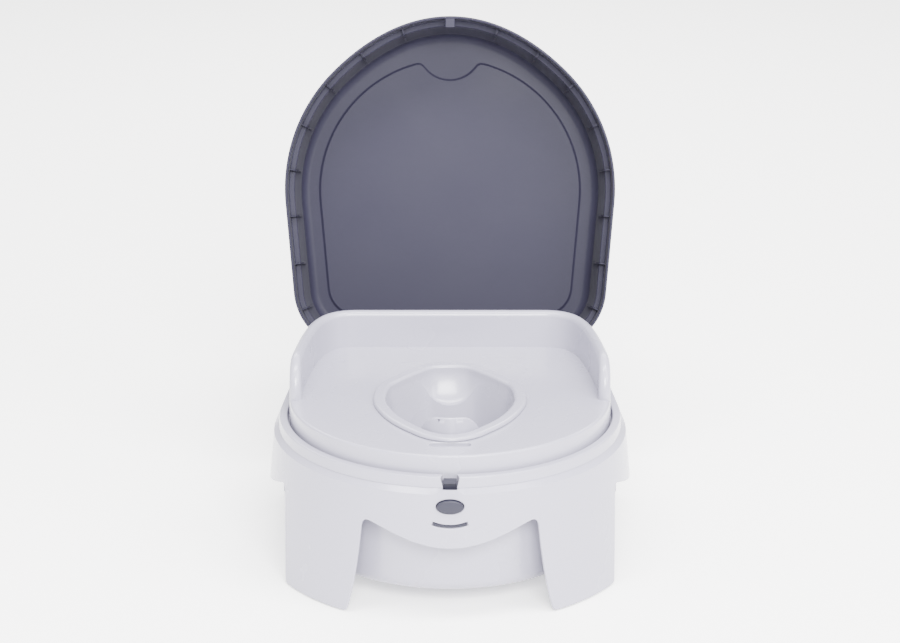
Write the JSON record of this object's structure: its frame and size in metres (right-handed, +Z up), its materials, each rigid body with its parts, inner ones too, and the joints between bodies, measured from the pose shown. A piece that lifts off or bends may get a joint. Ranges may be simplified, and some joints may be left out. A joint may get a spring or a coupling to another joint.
{
  "type": "potty training chair",
  "caption": "Toddler potty chair on a four-legged base, with lift-out bowl and seat ring, low backrest with arms, and a hinged lid that shuts to make a step.",
  "frame": {"origin": "on the floor, in the middle of the overall box with the lid open", "axes": "+Z up, -Y towards the front of the chair, +X to the right seen from the front"},
  "size_m": [0.3718, 0.5356, 0.4977],
  "materials": {
    "white_plastic": "smooth moulded, soft gloss",
    "slate_plastic": "smooth moulded, satin gloss",
    "grey_plastic": "smooth moulded, satin gloss",
    "mat_rubber": "matt, fine grip texture",
    "pad_rubber": "matt",
    "steel": "drawn wire and rod"
  },
  "bodies": {
    "base": {"base_shell": "white_plastic", "foot_pad_front_left": "pad_rubber", "foot_pad_front_right": "pad_rubber", "foot_pad_rear_left": "pad_rubber", "foot_pad_rear_right": "pad_rubber", "hinge_pin_left": "steel", "hinge_pin_right": "steel", "latch_spring": "steel"},
    "seat": {"seat_ring": "white_plastic"},
    "bowl": {"potty_bowl": "white_plastic"},
    "latch": {"latch_rocker": "grey_plastic"},
    "lid": {"lid_shell": "slate_plastic", "step_mat": "mat_rubber"}
  },
  "joints": [
    {"name": "lid_hinge", "type": "hinge", "parent": "base", "child": "lid", "pos_m": [0, 0.09724, 0.1458], "axis": [1, 0, 0], "range_deg": [0, 107.56]},
    {"name": "latch_press", "type": "hinge", "parent": "base", "child": "latch", "pos_m": [0, -0.26436, 0.1015], "axis": [-1, 0, 0], "range_deg": [0, 4.5], "stiffness_Nm_per_rad": 3, "springref_deg": -1.72, "deforming": ["latch_spring"]},
    {"name": "seat_lift", "type": "slide", "parent": "base", "child": "seat", "axis": [0, 0, 1], "range_m": [0, 0.195]},
    {"name": "bowl_lift", "type": "slide", "parent": "seat", "child": "bowl", "axis": [0, 0, 1], "range_m": [0, 0.195]}
  ]
}
